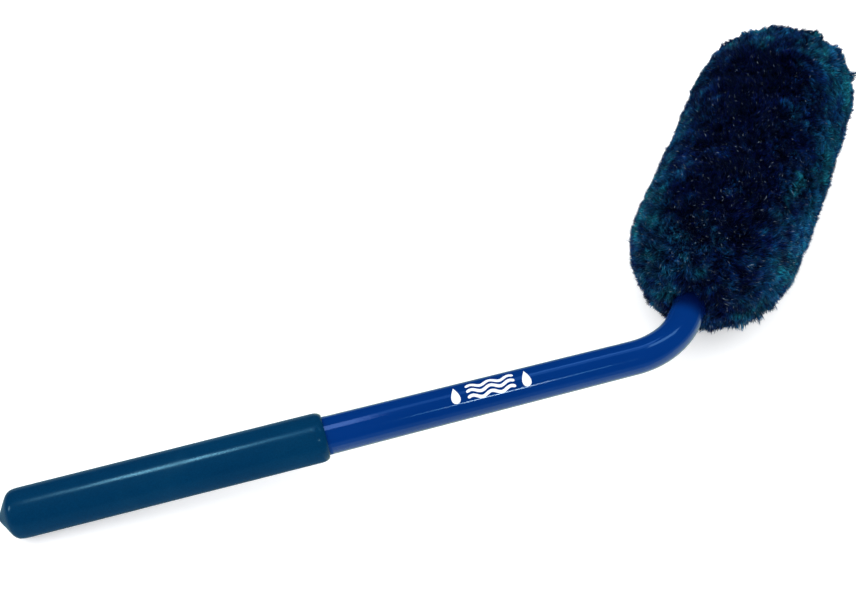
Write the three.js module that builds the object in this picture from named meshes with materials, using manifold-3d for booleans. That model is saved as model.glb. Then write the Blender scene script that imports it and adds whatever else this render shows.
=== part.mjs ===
// Wheel brush: a bent hollow handle with a dip-moulded vinyl grip, and a thick pile
// cover tied over a core on the handle's stem. Millimetres, +Z up.
//
// The brush lies as it is put down on a bench: the head's axis is level, the pile is
// pressed flat along a strip under it, and the grip's tail touches the bench. +X runs
// from the grip to the bend, seen from above, and the head turns towards +Y.
// The origin is the centre of the base of the bounding box.

import * as THREE from "three";
import { mergeVertices } from "three/addons/utils/BufferGeometryUtils.js";
import Module from "manifold-3d";

// ---------------------------------------------------------------- dimensions
const GAP = 0.3; // clearance kept between pieces that touch

// handle
const STRAIGHT = 292; // tip of the grip's nub to the start of the bend
const BEND_RADIUS = 38; // centreline
const BEND_ANGLE = THREE.MathUtils.degToRad(53);
const STEM = 168; // end of the bend to the stem's end inside the core
const TUBE_R_TAIL = 8.8; // outer radius from the tail to the grip's lip
const TUBE_R_STEM = 7.95; // outer radius from the bend on
const TUBE_WALL = 1.8;
const TUBE_START = 9.7; // the tube's tail end, from the nub's tip

// grip
const GRIP_LENGTH = 147;
const GRIP_R = 11.4;
const GRIP_R_LIP = 11.3;

// head, measured along its axis from the end of the bend
const PILE_START = 16; // the pile's near face
const PILE_LIP = 7; // where the pile lies on the handle in front of that face
const PILE_LENGTH = 187;
const PILE_R = 42;
const PILE_SQUASH = 1.2; // how far the pile is pressed flat underneath
const PILE_NECK_R = 23.5; // pile radius at its near face
const PILE_SHOULDER = 36; // length of the near shoulder
const PILE_NOSE = 50; // length of the rounded far end
const BACKING_R = 27; // outside of the knitted backing
const BACKING_T = 1.3;
const CORE_R = 25.3;
const CORE_START = 38.5;
const CORE_END = 172;
const SEAM_X = 176; // where the tip disc is sewn to the sleeve

const FACETS = 30; // round the large pieces
const TUBE_FACETS = 24;

// ----------------------------------------------------------------- materials
const finish = (color, roughness, metalness = 0) =>
  new THREE.MeshStandardMaterial({ color, roughness, metalness });

// --------------------------------------------------------------------- tools
const wasm = await Module();
wasm.setup();

function toSolid(geometry) {
  const g = geometry.clone();
  g.deleteAttribute("normal");
  g.deleteAttribute("uv");
  const merged = mergeVertices(g, 1e-4);
  return new wasm.Manifold(
    new wasm.Mesh({
      numProp: 3,
      vertProperties: new Float32Array(merged.attributes.position.array),
      triVerts: new Uint32Array(merged.index.array),
    }),
  );
}

function toGeometry(solid) {
  const m = solid.getMesh();
  const positions = new Float32Array(m.numVert * 3);
  for (let i = 0; i < m.numVert; i++)
    positions.set(
      m.vertProperties.subarray(i * m.numProp, i * m.numProp + 3),
      i * 3,
    );
  const g = new THREE.BufferGeometry();
  g.setAttribute("position", new THREE.BufferAttribute(positions, 3));
  g.setIndex(new THREE.BufferAttribute(new Uint32Array(m.triVerts), 1));
  const flat = g.toNonIndexed();
  flat.computeVertexNormals();
  return flat;
}

// A body of revolution about +X. The profile is a list of [x, r], run so that the
// material is on the profile's left. It starts and ends on the axis, or closes.
function turned(profile, facets = FACETS) {
  const g = new THREE.LatheGeometry(
    profile.map(([x, r]) => new THREE.Vector2(r, x)),
    facets,
  );
  g.rotateZ(-Math.PI / 2);
  const solid = toSolid(g);
  if (solid.volume() > 0) return g;
  const back = new THREE.LatheGeometry(
    profile.map(([x, r]) => new THREE.Vector2(r, x)).reverse(),
    facets,
  );
  back.rotateZ(-Math.PI / 2);
  return back;
}

const ring = (profile) => [...profile, profile[0]];

function rodAlong(axis, radius, length, facets = 16) {
  const g = new THREE.CylinderGeometry(radius, radius, length, facets);
  if (axis === "x") g.rotateZ(Math.PI / 2);
  if (axis === "z") g.rotateX(Math.PI / 2);
  return g;
}

const meshes = (parent, name, geometry, material) => {
  const mesh = new THREE.Mesh(geometry, material);
  mesh.name = name;
  parent.add(mesh);
  return mesh;
};

// -------------------------------------------------------- how the brush lies
const axisHeight = PILE_R - PILE_SQUASH;

const gripProfile = [
  [0, 0],
  [0, 1.7],
  [0.5, 2.5],
  [1.3, 3.7],
  [4.6, 9.0],
  [5.5, 10.2],
  [6.7, 11.0],
  [8.4, GRIP_R],
  [GRIP_LENGTH - 3.2, GRIP_R_LIP],
  [GRIP_LENGTH - 1.6, GRIP_R_LIP - 0.15],
  [GRIP_LENGTH - 0.5, GRIP_R_LIP - 0.8],
  [GRIP_LENGTH, GRIP_R_LIP - 1.5],
];

// The brush's plane tilts about the head's axis until the grip's tail meets the bench.
function lie() {
  const c = Math.cos(BEND_ANGLE);
  const s = Math.sin(BEND_ANGLE);
  let tilt = 0.1;
  for (let i = 0; i < 60; i++) {
    const rise = s * Math.sin(tilt); // slope of the handle
    const run = Math.sqrt(1 - rise * rise);
    const bendStart =
      axisHeight - BEND_RADIUS * (1 - c) * Math.sin(tilt);
    const tip = bendStart - STRAIGHT * rise;
    const lowest = Math.min(
      ...gripProfile.map(([x, r]) => tip + x * rise - r * run),
    );
    tilt += lowest / (STRAIGHT * s);
  }
  return tilt;
}
const TILT = lie();

// World directions: head axis d, handle direction h (towards the bend), and the side m
// of the bend that the handle comes from.
const sinT = Math.sin(TILT);
const cosT = Math.cos(TILT);
const cosB = Math.cos(BEND_ANGLE);
const sinB = Math.sin(BEND_ANGLE);
// Heading of the head's axis that puts the handle's plan view along +X.
const heading = Math.atan2(sinB * cosT, cosB);
const d = new THREE.Vector3(Math.cos(heading), Math.sin(heading), 0);
const m = new THREE.Vector3(
  Math.sin(heading) * cosT,
  -Math.cos(heading) * cosT,
  sinT,
);
const h = d.clone().multiplyScalar(cosB).addScaledVector(m, sinB);
const bendEnd = new THREE.Vector3(0, 0, axisHeight);
const bendPoint = (a) =>
  bendEnd
    .clone()
    .addScaledVector(d, -BEND_RADIUS * Math.sin(a))
    .addScaledVector(m, -BEND_RADIUS * (1 - Math.cos(a)));
const bendStart = bendPoint(BEND_ANGLE);
const tailTip = bendStart.clone().addScaledVector(h, -STRAIGHT);

const brush = new THREE.Group();

// Group along the handle: +X towards the bend, from the tip of the grip's nub.
const handle = new THREE.Group();
{
  const x = h.clone();
  const z = new THREE.Vector3().crossVectors(d, m).normalize().negate();
  const y = new THREE.Vector3().crossVectors(z, x);
  handle.quaternion.setFromRotationMatrix(
    new THREE.Matrix4().makeBasis(x, y, z),
  );
  handle.position.copy(tailTip);
}
brush.add(handle);

// Group along the head: +X along its axis, from the end of the bend, +Z up.
const head = new THREE.Group();
head.position.copy(bendEnd);
head.rotation.z = heading;
brush.add(head);

// -------------------------------------------------------------------- handle
// The tube's centreline, sampled at uneven stations: one step on each straight and a
// fine row round the bend.
class HandlePath extends THREE.Curve {
  constructor() {
    super();
    this.rings = [];
    const add = (point, tangent, radius) =>
      this.rings.push({ point, tangent, radius });
    const along = (s) => tailTip.clone().addScaledVector(h, s);
    add(along(TUBE_START), h, TUBE_R_TAIL);
    add(along(GRIP_LENGTH), h, TUBE_R_TAIL);
    add(along(STRAIGHT - 6), h, TUBE_R_STEM + 0.03);
    const steps = 10;
    for (let i = 0; i <= steps; i++) {
      const a = BEND_ANGLE * (1 - i / steps);
      add(
        bendPoint(a),
        d
          .clone()
          .multiplyScalar(Math.cos(a))
          .addScaledVector(m, Math.sin(a)),
        TUBE_R_STEM,
      );
    }
    add(bendEnd.clone().addScaledVector(d, STEM), d, TUBE_R_STEM);
  }
  at(u, key) {
    const n = this.rings.length - 1;
    const i = Math.min(n - 1, Math.floor(u * n + 1e-9));
    return this.rings[i][key]
      .clone()
      .lerp(this.rings[i + 1][key], u * n - i);
  }
  getPoint(u, target = new THREE.Vector3()) {
    return target.copy(this.at(u, "point"));
  }
  getPointAt(u, target) {
    return this.getPoint(u, target);
  }
  getTangent(u, target = new THREE.Vector3()) {
    return target.copy(this.at(u, "tangent").normalize());
  }
  getTangentAt(u, target) {
    return this.getTangent(u, target);
  }
  getSpacedPoints(n) {
    return Array.from({ length: n + 1 }, (_, i) => this.getPoint(i / n));
  }
}

const path = new HandlePath();

function sweptRod(offset) {
  const circle = new THREE.Shape();
  for (let i = 0; i < TUBE_FACETS; i++) {
    const a = (i / TUBE_FACETS) * Math.PI * 2;
    if (i) circle.lineTo(Math.cos(a), Math.sin(a));
    else circle.moveTo(1, 0);
  }
  circle.closePath();
  const g = new THREE.ExtrudeGeometry(circle, {
    steps: path.rings.length - 1,
    extrudePath: path,
  });
  // each ring takes its own radius
  const p = g.attributes.position;
  const v = new THREE.Vector3();
  for (let i = 0; i < p.count; i++) {
    v.fromBufferAttribute(p, i);
    const near = path.rings.reduce((a, b) =>
      a.point.distanceToSquared(v) < b.point.distanceToSquared(v) ? a : b,
    );
    v.sub(near.point)
      .multiplyScalar(near.radius - offset)
      .add(near.point);
    p.setXYZ(i, v.x, v.y, v.z);
  }
  return g;
}

// Hole for the collar's cross pin, through both walls of the stem.
const PIN_X = 34;
const PIN_R = 1.5;
const pinHole = (r) => {
  const g = rodAlong("z", r, 40, 12);
  g.translate(PIN_X, 0, 0);
  return g;
};

{
  const outer = toSolid(sweptRod(0));
  // the bore runs past both ends, so the tube is open
  const bore = toSolid(sweptRod(TUBE_WALL));
  const openTail = rodAlong("x", TUBE_R_TAIL - TUBE_WALL, 8, TUBE_FACETS);
  openTail.translate(TUBE_START, 0, 0);
  openTail.applyQuaternion(handle.quaternion);
  openTail.translate(tailTip.x, tailTip.y, tailTip.z);
  const openStem = rodAlong("x", TUBE_R_STEM - TUBE_WALL, 8, TUBE_FACETS);
  openStem.translate(STEM, 0, 0);
  openStem.rotateZ(heading);
  openStem.translate(bendEnd.x, bendEnd.y, bendEnd.z);
  const hole = pinHole(PIN_R + GAP);
  hole.rotateZ(heading);
  hole.translate(bendEnd.x, bendEnd.y, bendEnd.z);
  const tube = outer
    .subtract(bore)
    .subtract(toSolid(openTail))
    .subtract(toSolid(openStem))
    .subtract(toSolid(hole));
  meshes(brush, "handle_tube", toGeometry(tube), finish(0x063a96, 0.28));
}

meshes(
  handle,
  "grip_sleeve",
  turned([
    ...gripProfile,
    [GRIP_LENGTH - 0.1, TUBE_R_TAIL + GAP + 0.4],
    [GRIP_LENGTH - 0.6, TUBE_R_TAIL + GAP],
    [7.8, TUBE_R_TAIL + GAP],
    [7.2, TUBE_R_TAIL - 0.6],
    [7.2, 0],
  ]),
  finish(0x0a4468, 0.42),
);

{
  const inside = TUBE_R_TAIL - TUBE_WALL - GAP - 0.05;
  meshes(
    handle,
    "tail_plug",
    turned(
      [
        [7.6, 0],
        [7.6, TUBE_R_TAIL - 1.2],
        [8.1, TUBE_R_TAIL - 0.7],
        [TUBE_START - GAP, TUBE_R_TAIL - 0.7],
        [TUBE_START - GAP, inside],
        [22, inside],
        [23, inside - 0.8],
        [23, 4.4],
        [12, 4.4],
        [12, 0],
      ],
      TUBE_FACETS,
    ),
    finish(0x16181c, 0.5),
  );
}

// ---------------------------------------------------------- inside the head
const STEM_CLEAR = TUBE_R_STEM + GAP;

meshes(
  head,
  "nose_plug",
  turned(
    [
      [148, 0],
      [148, 5.0],
      [149, TUBE_R_STEM - TUBE_WALL - GAP - 0.05],
      [STEM, TUBE_R_STEM - TUBE_WALL - GAP - 0.05],
      [STEM, 2.3],
      [156, 2.3],
      [156, 0],
    ],
    TUBE_FACETS,
  ),
  finish(0x16181c, 0.5),
);

{
  const body = toSolid(
    turned(
      ring([
        [30, STEM_CLEAR],
        [30, 11.4],
        [31, 12.4],
        [37.2, 12.4],
        [38.2, 11.4],
        [38.2, STEM_CLEAR],
      ]),
      TUBE_FACETS,
    ),
  ).subtract(toSolid(pinHole(PIN_R + GAP)));
  meshes(head, "stop_collar", toGeometry(body), finish(0x1b1e24, 0.45));
}

{
  const pin = rodAlong("z", PIN_R, 24, 12);
  pin.translate(PIN_X, 0, 0);
  meshes(head, "collar_pin", pin, finish(0xa9adb3, 0.3, 1));
}

{
  // foam core, with a shallow groove along it for the cover's seam allowance
  const body = toSolid(
    turned(
      ring([
        [CORE_START, STEM_CLEAR],
        [CORE_START, 13],
        [42, 18],
        [46, 21.8],
        [50, 24.4],
        [53, CORE_R],
        [CORE_END, CORE_R],
        [CORE_END, STEM_CLEAR],
      ]),
    ),
  );
  const groove = new THREE.BoxGeometry(CORE_END - 40, 8.8, 4);
  groove.translate((CORE_END + 60) / 2 + 0.2, 0, -CORE_R - 0.1);
  meshes(
    head,
    "core_body",
    toGeometry(body.subtract(toSolid(groove))),
    finish(0x3a3d42, 0.85),
  );
}

{
  const strip = new THREE.BoxGeometry(CORE_END - 56, 8.0, 1.1);
  strip.translate((CORE_END + 56) / 2, 0, -CORE_R + 1.15);
  meshes(head, "seam_allowance", strip, finish(0x10233c, 0.9));
}

meshes(
  head,
  "front_washer",
  turned(
    ring([
      [CORE_END + 0.3, 2.9],
      [CORE_END + 0.3, 15.2],
      [CORE_END + 0.7, 15.6],
      [CORE_END + 1.5, 15.6],
      [CORE_END + 1.9, 15.2],
      [CORE_END + 1.9, 2.9],
    ]),
    TUBE_FACETS,
  ),
  finish(0xb3b7bd, 0.32, 1),
);

{
  // pan-head screw with a cross recess
  const body = toSolid(
    turned(
      [
        [158, 0],
        [159.6, 1.7],
        [160.2, 2.0],
        [CORE_END + 2.2, 2.0],
        [CORE_END + 2.2, 4.6],
        [CORE_END + 3.6, 4.4],
        [CORE_END + 4.7, 3.3],
        [CORE_END + 5.1, 1.6],
        [CORE_END + 5.1, 0],
      ],
      TUBE_FACETS,
    ),
  );
  const slotA = new THREE.BoxGeometry(2.6, 4.2, 0.9);
  slotA.translate(CORE_END + 5.1, 0, 0);
  const slotB = new THREE.BoxGeometry(2.6, 0.9, 4.2);
  slotB.translate(CORE_END + 5.1, 0, 0);
  meshes(
    head,
    "nose_screw",
    toGeometry(body.subtract(toSolid(slotA).add(toSolid(slotB)))),
    finish(0xa9adb3, 0.3, 1),
  );
}

// domed nose of the core, with room for the washer and the screw's head
meshes(
  head,
  "core_nose",
  turned([
    [CORE_END + 5.8, 0],
    [CORE_END + 5.8, 5.4],
    [CORE_END + 2.3, 5.4],
    [CORE_END + 2.3, 16.2],
    [CORE_END + 0.3, 16.2],
    [CORE_END + 0.3, CORE_R],
    [CORE_END + 4.0, CORE_R],
    [CORE_END + 8.0, 23.6],
    [CORE_END + 11.2, 19.6],
    [CORE_END + 13.4, 13.6],
    [CORE_END + 14.6, 6.8],
    [CORE_END + 14.9, 0],
  ]),
  finish(0x3a3d42, 0.85),
);

// ---------------------------------------------------------------- the cover
const BACKING_IN = BACKING_R - BACKING_T;

meshes(
  head,
  "backing_sleeve",
  turned(
    ring([
      // inside, from the neck to the tip's seam
      [21, STEM_CLEAR],
      [29.2, STEM_CLEAR + 0.1],
      [29.6, 12.9],
      [38.3, 13.4],
      [42, 18.6],
      [46, 22.4],
      [50, 24.9],
      [53.5, BACKING_IN],
      [SEAM_X - 0.6, BACKING_IN],
      // outside, back to the neck
      [SEAM_X - 0.6, BACKING_R],
      [52.6, BACKING_R],
      [49, 26.1],
      [45, 23.6],
      [41, 19.8],
      [37.2, 14.8],
      [28.6, 14.2],
      [28.3, 9.2],
      [21, 9.2],
    ]),
  ),
  finish(0x0c2440, 0.9),
);

meshes(
  head,
  "tip_seam",
  turned(
    ring([
      [SEAM_X - 0.2, BACKING_IN],
      [SEAM_X - 0.3, BACKING_R - 0.2],
      [SEAM_X + 0.3, BACKING_R + 0.3],
      [SEAM_X + 1.1, BACKING_R + 0.3],
      [SEAM_X + 1.7, BACKING_R - 0.2],
      [SEAM_X + 1.6, BACKING_IN],
    ]),
  ),
  finish(0x0a1c36, 0.85),
);

meshes(
  head,
  "backing_tip",
  turned([
    [CORE_END + 15.3, 0],
    [CORE_END + 15.0, 7.0],
    [CORE_END + 13.8, 13.9],
    [CORE_END + 11.6, 20.0],
    [CORE_END + 8.4, 24.1],
    [SEAM_X + 2.0, BACKING_IN + 0.1],
    [SEAM_X + 2.0, BACKING_R],
    [SEAM_X + 3.0, BACKING_R],
    [CORE_END + 9.2, 25.2],
    [CORE_END + 12.6, 20.8],
    [CORE_END + 14.9, 14.4],
    [CORE_END + 16.2, 7.2],
    [CORE_END + 16.5, 0],
  ]),
  finish(0x0c2440, 0.9),
);

{
  // tie band round the backing's neck, with its locking head
  const band = toSolid(
    turned(
      ring([
        [23, 9.5],
        [23, 10.6],
        [27.6, 10.6],
        [27.6, 9.5],
      ]),
      TUBE_FACETS,
    ),
  );
  const lock = new THREE.BoxGeometry(5.6, 6.4, 3.4);
  lock.translate(25.3, 0, 11.4);
  meshes(
    head,
    "neck_tie",
    toGeometry(band.add(toSolid(lock))),
    finish(0x0d0e11, 0.5),
  );
}

// Outside of the pile: a rounded shoulder at the neck, a straight side and a broad
// rounded nose. Each takes a share of its length, 0 at its near end.
const SHOULDER_POWER = 1.41;
const NOSE_POWER = 4.0;
const shoulderPoint = (u) => [
  PILE_START + PILE_SHOULDER * u,
  PILE_NECK_R +
    (PILE_R - PILE_NECK_R) *
      Math.pow(1 - Math.pow(1 - u, SHOULDER_POWER), 1 / SHOULDER_POWER),
];
const nosePoint = (u) => [
  PILE_START + PILE_LENGTH - PILE_NOSE * (1 - u),
  PILE_R * Math.pow(Math.max(0, 1 - Math.pow(u, NOSE_POWER)), 1 / NOSE_POWER),
];

{
  const shoulder = [0, 0.05, 0.12, 0.22, 0.34, 0.48, 0.64, 0.82, 1].map(
    shoulderPoint,
  );
  // the pile parts between the sleeve and the tip disc, above their seam
  const sleeveNose = [0, 0.3, 0.5, 0.66, 0.79].map(nosePoint);
  const tipNose = [0.8, 0.88, 0.94, 0.975, 0.995, 1].map(nosePoint);
  const bench = new THREE.BoxGeometry(300, 120, 20);
  bench.translate(110, 0, -axisHeight - 10);
  const flat = toSolid(bench);

  const sleeve = toSolid(
    turned(
      ring([
        // inside, along the neck, the tie and the backing
        [PILE_LIP, 8.6],
        [20.6, 8.6],
        [20.7, 9.6],
        [22.2, 10.2],
        [22.3, 15.0],
        [28.0, 15.0],
        [37.0, 15.4],
        [40.8, 20.3],
        [44.8, 24.1],
        [48.8, 26.6],
        [52.6, BACKING_R + GAP],
        [SEAM_X - 0.8, BACKING_R + GAP],
        [SEAM_X - 0.2, BACKING_R + GAP + 0.4],
        [SEAM_X + 1.2, BACKING_R + GAP + 0.4],
        // outside
        ...sleeveNose.reverse(),
        ...shoulder.reverse(),
        // the near face slopes down to the handle
        [13.0, 19.6],
        [9.5, 14.6],
        [PILE_LIP, 10.8],
      ]),
    ),
  ).subtract(flat);
  meshes(head, "pile_sleeve", toGeometry(sleeve), finish(0x08253f, 0.95));

  const tip = toSolid(
    turned([
      [CORE_END + 16.9, 0],
      [CORE_END + 16.6, 7.4],
      [CORE_END + 15.3, 14.7],
      [CORE_END + 12.9, 21.2],
      [CORE_END + 9.4, 25.6],
      [SEAM_X + 3.2, BACKING_R + GAP],
      [SEAM_X + 2.1, BACKING_R + GAP + 0.3],
      ...tipNose,
    ]),
  ).subtract(flat);
  meshes(head, "pile_tip", toGeometry(tip), finish(0x08253f, 0.95));
}

// ------------------------------------------- origin at the base's centre
brush.updateMatrixWorld(true);
const box = new THREE.Box3().setFromObject(brush, true);
brush.position.set(
  -(box.min.x + box.max.x) / 2,
  -(box.min.y + box.max.y) / 2,
  -box.min.z,
);

const part = new THREE.Group();
part.add(brush);

export default part;
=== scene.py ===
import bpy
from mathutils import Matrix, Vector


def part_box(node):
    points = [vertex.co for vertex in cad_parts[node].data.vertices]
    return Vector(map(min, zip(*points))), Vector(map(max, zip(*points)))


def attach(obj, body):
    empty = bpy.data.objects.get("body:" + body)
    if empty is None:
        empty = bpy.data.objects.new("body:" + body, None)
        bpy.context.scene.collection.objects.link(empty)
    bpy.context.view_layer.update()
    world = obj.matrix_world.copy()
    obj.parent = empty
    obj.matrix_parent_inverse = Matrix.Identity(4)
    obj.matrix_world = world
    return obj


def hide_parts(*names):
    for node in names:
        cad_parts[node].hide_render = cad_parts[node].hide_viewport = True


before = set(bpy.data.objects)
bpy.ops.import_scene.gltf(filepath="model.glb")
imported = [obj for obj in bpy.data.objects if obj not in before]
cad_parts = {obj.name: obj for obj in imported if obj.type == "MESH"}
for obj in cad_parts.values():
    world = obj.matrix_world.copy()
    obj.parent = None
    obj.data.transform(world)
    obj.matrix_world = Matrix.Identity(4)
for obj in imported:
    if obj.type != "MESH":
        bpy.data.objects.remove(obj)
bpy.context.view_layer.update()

import math

import bmesh
import bpy
import numpy as np
from mathutils import Matrix, Vector
from mathutils.kdtree import KDTree

MM = 0.001
scene = bpy.context.scene

# ------------------------------------------------------------------ the frame
# Driving sizes of the brush, in millimetres, as the CAD states them.
STRAIGHT = 292.0
BEND_RADIUS = 38.0
BEND_ANGLE = math.radians(53)
STEM = 168.0
TUBE_R_TAIL = 8.8
TUBE_R_STEM = 7.95
TUBE_WALL = 1.8
TUBE_START = 9.7
GRIP_LENGTH = 147.0
GRIP_R = 11.4
GRIP_R_LIP = 11.3
PILE_START = 16.0
PILE_LENGTH = 187.0
PILE_R = 42.0
PILE_NECK_R = 23.5
PILE_SHOULDER = 36.0
PILE_NOSE = 50.0
BACKING_R = 27.0

# The head's axis: the collar's pin and the screw both lie across it.
pin_lo, pin_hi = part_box("collar_pin")
tie_lo, tie_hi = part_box("neck_tie")
pin_mid = (np.array(pin_lo) + np.array(pin_hi)) / 2 / MM
TILT = math.radians(7.001812569639188)
sin_t, cos_t = math.sin(TILT), math.cos(TILT)
sin_b, cos_b = math.sin(BEND_ANGLE), math.cos(BEND_ANGLE)
HEADING = math.atan2(sin_b * cos_t, cos_b)
D = np.array([math.cos(HEADING), math.sin(HEADING), 0.0])  # along the head
SIDE = np.array([-math.sin(HEADING), math.cos(HEADING), 0.0])
UP = np.array([0.0, 0.0, 1.0])
M = np.array([math.sin(HEADING) * cos_t, -math.cos(HEADING) * cos_t, sin_t])
H = cos_b * D + sin_b * M  # along the handle, towards the bend
HEAD0 = pin_mid - 34.0 * D  # the end of the bend


def bend_point(a):
    return HEAD0 - BEND_RADIUS * (math.sin(a) * D + (1 - math.cos(a)) * M)


TAIL = bend_point(BEND_ANGLE) - STRAIGHT * H


# --------------------------------------------------------------- small helpers
def mesh_object(name, verts, faces, body="root", smooth=True):
    """A mesh in metres from points in millimetres and a list of faces."""
    me = bpy.data.meshes.new(name)
    me.from_pydata([tuple(v) for v in np.asarray(verts) * MM], [], faces)
    me.validate()
    if smooth:
        me.polygons.foreach_set("use_smooth", [True] * len(me.polygons))
    me.update()
    o = bpy.data.objects.new(name, me)
    scene.collection.objects.link(o)
    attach(o, body)
    return o


def hash3(ix, iy, iz, seed):
    with np.errstate(over="ignore"):
        h = (
            ix.astype(np.uint32) * np.uint32(0x8DA6B343)
            + iy.astype(np.uint32) * np.uint32(0xD8163841)
            + iz.astype(np.uint32) * np.uint32(0xCB1AB31F)
            + np.uint32((seed * 0x9E3779B1) & 0xFFFFFFFF)
        )
        h ^= h >> np.uint32(15)
        h *= np.uint32(0x2C1B3C6D)
        h ^= h >> np.uint32(12)
        h *= np.uint32(0x297A2D39)
        h ^= h >> np.uint32(15)
    return h.astype(np.float64) / 4294967295.0


def noise3(p, scale, seed):
    """Smooth value noise, 0 to 1, of points in millimetres, with cells of that size."""
    q = np.asarray(p, float) / scale + 4096.0
    i = np.floor(q).astype(np.int64)
    f = q - i
    f = f * f * f * (f * (f * 6 - 15) + 10)
    out = np.zeros(len(q))
    for dx in (0, 1):
        wx = f[:, 0] if dx else 1 - f[:, 0]
        for dy in (0, 1):
            wy = f[:, 1] if dy else 1 - f[:, 1]
            for dz in (0, 1):
                wz = f[:, 2] if dz else 1 - f[:, 2]
                out += wx * wy * wz * hash3(i[:, 0] + dx, i[:, 1] + dy, i[:, 2] + dz, seed)
    return out


def swirl(p, scale, seed):
    """A smooth random direction field, each part from -1 to 1."""
    return np.stack([noise3(p, scale, seed + k) * 2 - 1 for k in range(3)], 1)


# ------------------------------------------------------------------- materials
class Mat:
    """A node material around one Principled shader."""

    def __init__(self, name):
        self.m = bpy.data.materials.new(name)
        self.m.use_nodes = True
        self.nt = self.m.node_tree
        self.nt.nodes.clear()
        self.out = self.nt.nodes.new("ShaderNodeOutputMaterial")
        self.p = self.nt.nodes.new("ShaderNodeBsdfPrincipled")
        self.link(self.p.outputs["BSDF"], self.out.inputs["Surface"])
        self.coord = self.nt.nodes.new("ShaderNodeTexCoord")

    def link(self, a, b):
        self.nt.links.new(a, b)

    def set(self, **values):
        for k, v in values.items():
            self.p.inputs[k.replace("_", " ")].default_value = v
        return self

    def noise(self, scale, detail=3.0, rough=0.5, stretch=None, distortion=0.0):
        n = self.nt.nodes.new("ShaderNodeTexNoise")
        n.inputs["Scale"].default_value = scale
        n.inputs["Detail"].default_value = detail
        n.inputs["Roughness"].default_value = rough
        n.inputs["Distortion"].default_value = distortion
        src = self.coord.outputs["Object"]
        if stretch is not None:
            mp = self.nt.nodes.new("ShaderNodeMapping")
            mp.inputs["Rotation"].default_value = stretch[1]
            mp.inputs["Scale"].default_value = stretch[0]
            self.link(src, mp.inputs["Vector"])
            src = mp.outputs["Vector"]
        self.link(src, n.inputs["Vector"])
        return n.outputs["Fac"]

    def voronoi(self, scale, feature="F1", stretch=None):
        n = self.nt.nodes.new("ShaderNodeTexVoronoi")
        n.feature = feature
        n.inputs["Scale"].default_value = scale
        src = self.coord.outputs["Object"]
        if stretch is not None:
            mp = self.nt.nodes.new("ShaderNodeMapping")
            mp.inputs["Rotation"].default_value = stretch[1]
            mp.inputs["Scale"].default_value = stretch[0]
            self.link(src, mp.inputs["Vector"])
            src = mp.outputs["Vector"]
        self.link(src, n.inputs["Vector"])
        return n.outputs["Distance"]

    def attribute(self, name):
        n = self.nt.nodes.new("ShaderNodeAttribute")
        n.attribute_type = "GEOMETRY"
        n.attribute_name = name
        return n.outputs["Fac"]

    def ramp(self, fac, stops, ease="LINEAR"):
        n = self.nt.nodes.new("ShaderNodeValToRGB")
        cr = n.color_ramp
        cr.interpolation = ease
        while len(cr.elements) < len(stops):
            cr.elements.new(0.5)
        for e, (pos, col) in zip(cr.elements, stops):
            e.position = pos
            e.color = (*col, 1.0) if hasattr(col, "__len__") else (col, col, col, 1.0)
        self.link(fac, n.inputs["Fac"])
        return n.outputs["Color"]

    def mix(self, fac, a, b, kind="MIX"):
        n = self.nt.nodes.new("ShaderNodeMix")
        n.data_type = "RGBA"
        n.blend_type = kind
        for value, socket in ((fac, n.inputs[0]), (a, n.inputs[6]), (b, n.inputs[7])):
            if isinstance(value, (int, float)):
                socket.default_value = value
            elif isinstance(value, tuple):
                socket.default_value = (*value, 1.0)
            else:
                self.link(value, socket)
        return n.outputs[2]

    def math(self, op, a, b=0.0, clamp=False):
        n = self.nt.nodes.new("ShaderNodeMath")
        n.operation = op
        n.use_clamp = clamp
        for value, socket in ((a, n.inputs[0]), (b, n.inputs[1])):
            if isinstance(value, (int, float)):
                socket.default_value = value
            else:
                self.link(value, socket)
        return n.outputs[0]

    def spread(self, fac, low, high):
        """fac, 0 to 1, spread from low to high."""
        n = self.nt.nodes.new("ShaderNodeMapRange")
        n.inputs["To Min"].default_value = low
        n.inputs["To Max"].default_value = high
        self.link(fac, n.inputs["Value"])
        return n.outputs["Result"]

    def bump(self, *heights):
        """Bumps of (height, strength, distance), finest last."""
        before = None
        for height, strength, distance in heights:
            n = self.nt.nodes.new("ShaderNodeBump")
            n.inputs["Strength"].default_value = strength
            n.inputs["Distance"].default_value = distance
            self.link(height, n.inputs["Height"])
            if before is not None:
                self.link(before, n.inputs["Normal"])
            before = n.outputs["Normal"]
        self.link(before, self.p.inputs["Normal"])

    def colour(self, socket):
        self.link(socket, self.p.inputs["Base Color"])

    def roughness(self, socket):
        self.link(socket, self.p.inputs["Roughness"])


ALONG = (0.0, math.radians(5.6), 0.0)  # lays a texture's x along the handle


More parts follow.
